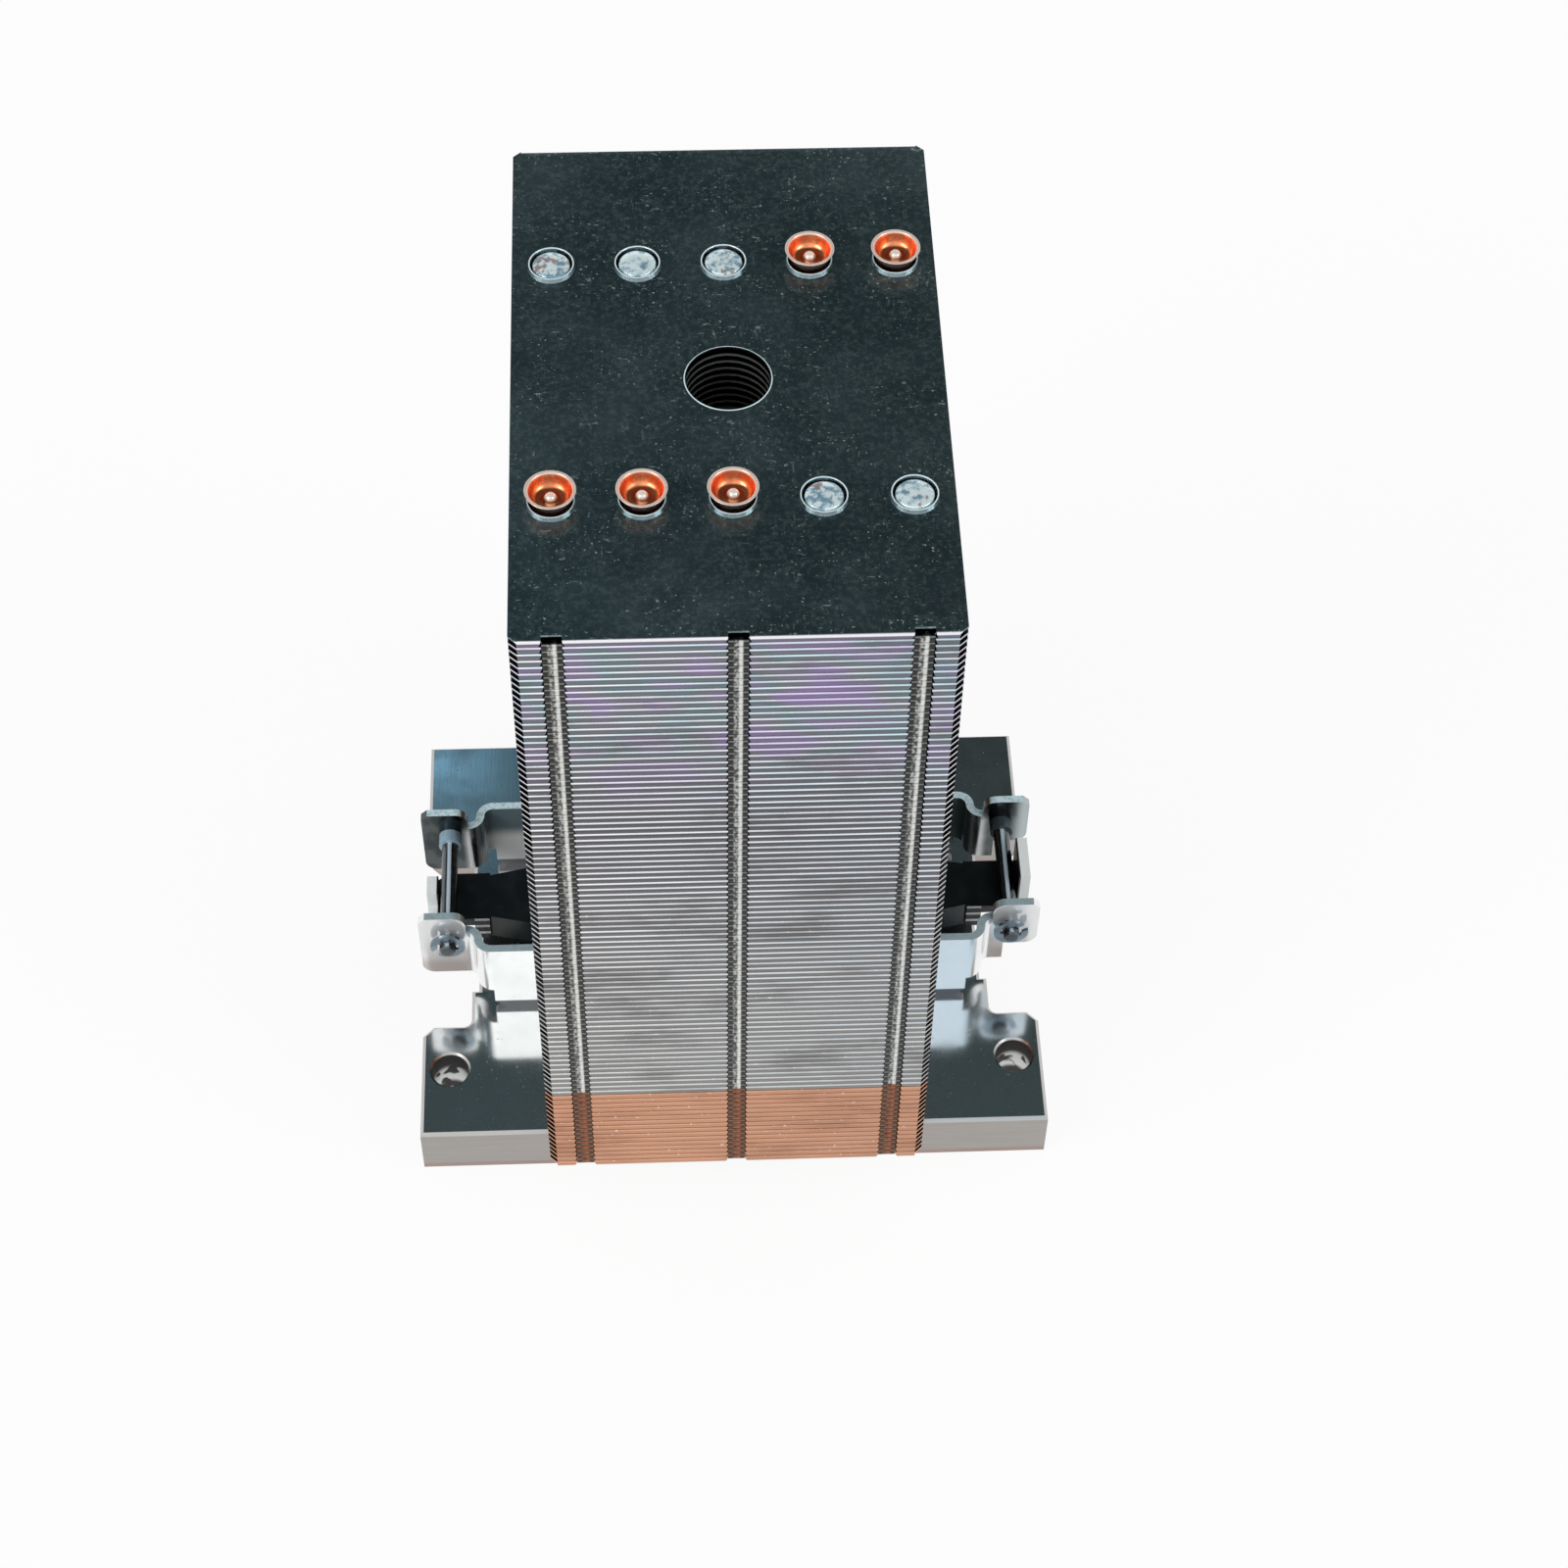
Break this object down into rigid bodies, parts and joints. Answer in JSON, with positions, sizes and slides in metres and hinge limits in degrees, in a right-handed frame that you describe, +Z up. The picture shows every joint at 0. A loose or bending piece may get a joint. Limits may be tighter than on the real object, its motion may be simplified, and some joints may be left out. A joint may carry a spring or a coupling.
{
  "type": "server heatsink",
  "caption": "Tall passive server CPU heatsink: folded aluminium and copper fins on heat pipes, over a mirror-bright base with a spring-loaded clamping cage.",
  "frame": {"origin": "centre of the flat underside that sits on the processor, under the middle of the fin stack", "axes": "+Z up through the fins, +X along the air channels between the fins, +Y from the side with the guide holes to the plain side"},
  "size_m": [0.115, 0.104, 0.1643],
  "materials": {
    "plated_base": "bright nickel-like plating, machined flat",
    "contact_metal": "bright plated, finely ground contact face",
    "copper_fin": "bare rolled copper sheet with light tarnish",
    "aluminium_fin": "bare rolled sheet, bright folded edges",
    "top_fin": "smooth rolled sheet that mirrors dark surroundings",
    "pipe_copper": "drawn copper tube",
    "bracket_steel": "bright plated folded sheet",
    "pin_steel": "dark drawn rod",
    "clip_steel": "stamped spring steel",
    "black_spring": "black oxide, satin",
    "nut_steel": "turned steel",
    "screw_steel": "dark turned steel"
  },
  "bodies": {
    "sink": {"base_plate": "plated_base", "contact_block": "contact_metal", "copper_fins_front": "copper_fin", "copper_fins_rear": "copper_fin", "aluminium_fins": "aluminium_fin", "top_fin": "top_fin", "heat_pipe_1": "pipe_copper", "heat_pipe_2": "pipe_copper", "heat_pipe_3": "pipe_copper", "heat_pipe_4": "pipe_copper", "heat_pipe_5": "pipe_copper", "front_bracket": "bracket_steel", "rear_bracket": "bracket_steel", "left_pin": "pin_steel", "right_pin": "pin_steel", "left_pin_clip": "clip_steel", "right_pin_clip": "clip_steel"},
    "screw": {"load_screw": "screw_steel"},
    "spring_pack": {"leaf_spring_1": "black_spring", "leaf_spring_2": "black_spring", "leaf_spring_3": "black_spring", "load_nut": "nut_steel", "pack_washer": "clip_steel", "snap_ring": "clip_steel"}
  },
  "joints": [
    {"name": "load_screw_turn", "type": "hinge", "parent": "sink", "child": "screw", "pos_m": [0, 0, 0.02], "axis": [0, 0, 1], "range_deg": [-722, 0]},
    {"name": "spring_pack_lift", "type": "slide", "parent": "sink", "child": "spring_pack", "axis": [0, 0, 1], "range_m": [0, 0.0025]}
  ],
  "couplings": [
    {"joint": "load_screw_turn", "follows": "spring_pack_lift", "rad_per_m": -5026.5}
  ]
}
